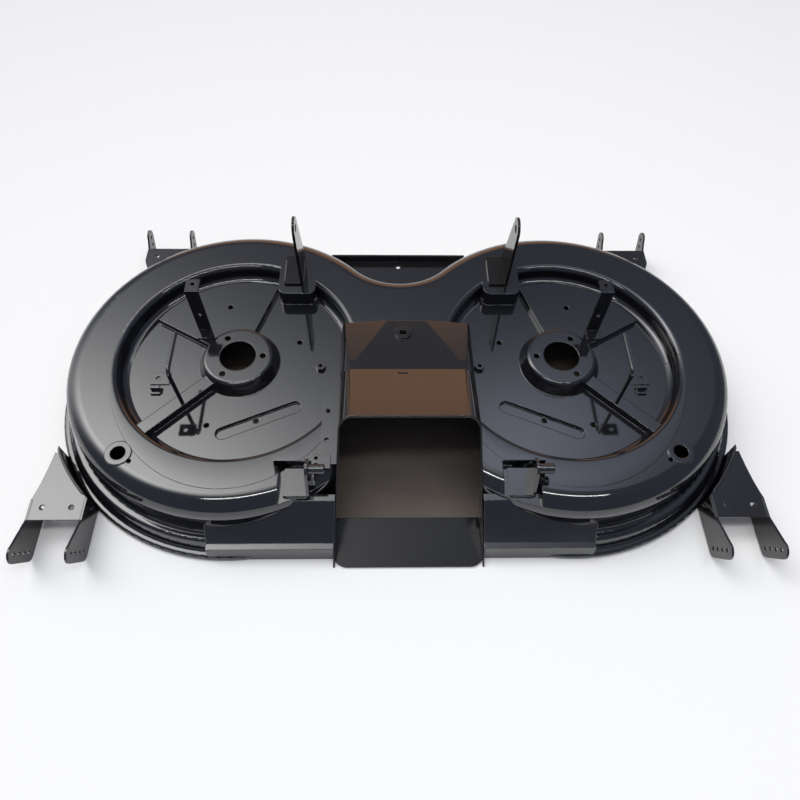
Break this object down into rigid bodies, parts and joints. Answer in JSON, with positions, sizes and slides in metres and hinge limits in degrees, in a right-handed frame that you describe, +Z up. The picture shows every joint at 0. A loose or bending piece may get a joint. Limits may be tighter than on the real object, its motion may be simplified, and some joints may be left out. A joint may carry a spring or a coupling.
{
  "type": "lawn mower deck",
  "caption": "Pressed steel lawn mower deck with round blade housings, a raised rear discharge hood, spindle bosses, hanger lugs and folded wheel forks.",
  "frame": {"origin": "midway between the two spindle holes in plan, at the bottom of the rim", "axes": "+X along the line of the spindles to the right seen from the discharge mouth, +Y towards the mower's front, +Z up"},
  "size_m": [1.0818, 0.62, 0.235],
  "materials": {
    "gloss_black": "gloss"
  },
  "bodies": {
    "root": {"belt_guide_left": "gloss_black", "belt_guide_right": "gloss_black", "chute_lip": "gloss_black", "cover_bracket_left": "gloss_black", "cover_bracket_right": "gloss_black", "deck_shell": "gloss_black", "discharge_hood": "gloss_black", "front_hanger_left": "gloss_black", "front_hanger_right": "gloss_black", "front_stiffener": "gloss_black", "guard_strip": "gloss_black", "guide_tab_left": "gloss_black", "guide_tab_right": "gloss_black", "hook_tab_left": "gloss_black", "hook_tab_right": "gloss_black", "rear_apron_left": "gloss_black", "rear_apron_right": "gloss_black", "rear_hanger_left": "gloss_black", "rear_hanger_pin_left": "gloss_black", "rear_hanger_pin_right": "gloss_black", "rear_hanger_right": "gloss_black", "strip_tab": "gloss_black", "weld_nut_left": "gloss_black", "weld_nut_right": "gloss_black", "wheel_bracket_front_left": "gloss_black", "wheel_bracket_front_right": "gloss_black", "wheel_bracket_rear_left": "gloss_black", "wheel_bracket_rear_right": "gloss_black", "wheel_ear_front_left_inner": "gloss_black", "wheel_ear_front_left_outer": "gloss_black", "wheel_ear_front_right_inner": "gloss_black", "wheel_ear_front_right_outer": "gloss_black", "wheel_ear_rear_left_inner": "gloss_black", "wheel_ear_rear_left_outer": "gloss_black", "wheel_ear_rear_right_inner": "gloss_black", "wheel_ear_rear_right_outer": "gloss_black"}
  },
  "joints": []
}
